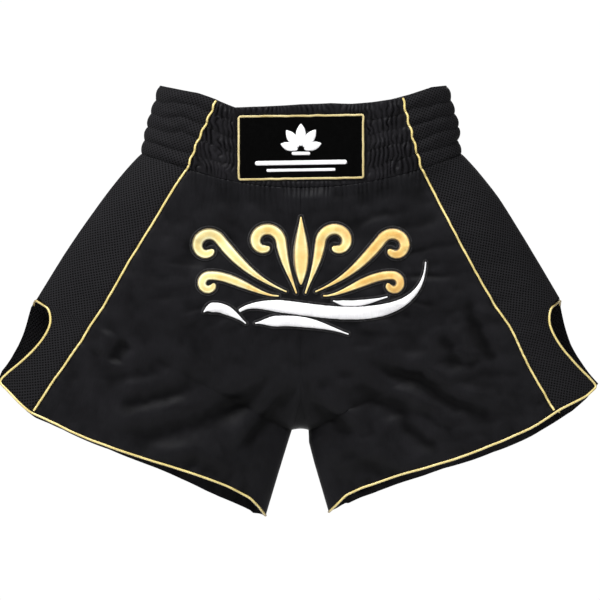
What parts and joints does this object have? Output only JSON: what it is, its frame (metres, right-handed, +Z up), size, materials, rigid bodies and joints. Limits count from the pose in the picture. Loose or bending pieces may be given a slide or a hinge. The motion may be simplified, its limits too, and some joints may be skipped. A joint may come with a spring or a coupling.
{
  "type": "boxing shorts",
  "caption": "Short wide-legged satin boxing shorts with a gathered elastic waistband, mesh side panels, corded seams, slit legs and an embroidered front.",
  "frame": {"origin": "centre of the waist opening, level with the middle of the waistband's front top edge", "axes": "+Z up towards the waist opening, -Y the wearer's front, +X the wearer's left; the shorts hang upright as worn"},
  "size_m": [0.6782, 0.1033, 0.4828],
  "materials": {
    "black_satin": "glossy satin weave",
    "black_mesh": "fine open air mesh, matt",
    "gold_piping": "satin cord",
    "elastic": "woven elastic, matt",
    "patch_black": "dense matt twill",
    "white_thread": "satin-stitch embroidery",
    "gold_thread": "satin-stitch embroidery",
    "applique_felt": "matt felt",
    "label_cloth": "plain woven tape",
    "eyelet_metal": "satin"
  },
  "bodies": {
    "waist": {"waistband_front": "black_satin", "waistband_back": "black_satin", "waistband_side_left": "black_mesh", "waistband_side_right": "black_mesh", "waistband_lining": "black_satin", "elastic_1": "elastic", "elastic_2": "elastic", "elastic_3": "elastic", "elastic_4": "elastic", "elastic_5": "elastic", "eyelet_left": "eyelet_metal", "eyelet_right": "eyelet_metal", "care_label": "label_cloth", "patch_base": "patch_black", "patch_border": "gold_thread", "patch_motif": "white_thread", "patch_bar_upper": "white_thread", "patch_bar_lower": "white_thread", "crotch_gusset": "black_satin", "applique_backing": "applique_felt", "scroll_inner_left": "gold_thread", "scroll_inner_right": "gold_thread", "scroll_upper_left": "gold_thread", "scroll_upper_right": "gold_thread", "scroll_lower_left": "gold_thread", "scroll_lower_right": "gold_thread", "scroll_bud": "gold_thread", "flourish_sweep": "white_thread", "flourish_leaf_lower": "white_thread", "flourish_leaf_left": "white_thread", "flourish_leaf_upper": "white_thread", "side_panel_left": "black_mesh", "front_panel_left": "black_satin", "front_piping_left": "gold_piping", "back_panel_left": "black_satin", "back_piping_left": "gold_piping", "side_panel_right": "black_mesh", "front_panel_right": "black_satin", "front_piping_right": "gold_piping", "back_panel_right": "black_satin", "back_piping_right": "gold_piping"},
    "left_leg": {"front_crease_left": "black_satin", "front_leg_left": "black_satin", "front_flap_left": "black_mesh", "front_leg_piping_left": "gold_piping", "back_crease_left": "black_satin", "back_leg_left": "black_satin", "back_flap_left": "black_mesh", "back_leg_piping_left": "gold_piping", "hem_cord_left": "gold_piping"},
    "right_leg": {"front_crease_right": "black_satin", "front_leg_right": "black_satin", "front_flap_right": "black_mesh", "front_leg_piping_right": "gold_piping", "back_crease_right": "black_satin", "back_leg_right": "black_satin", "back_flap_right": "black_mesh", "back_leg_piping_right": "gold_piping", "hem_cord_right": "gold_piping"}
  },
  "joints": [
    {"name": "left_leg_swing", "type": "hinge", "parent": "waist", "child": "left_leg", "pos_m": [0.1545, 0, -0.2958], "axis": [-0.8864, 0, -0.4629], "range_deg": [-15, 30], "deforming": ["front_crease_left", "back_crease_left"]},
    {"name": "right_leg_swing", "type": "hinge", "parent": "waist", "child": "right_leg", "pos_m": [-0.1545, 0, -0.2958], "axis": [-0.8864, 0, 0.4629], "range_deg": [-15, 30], "deforming": ["front_crease_right", "back_crease_right"]}
  ]
}
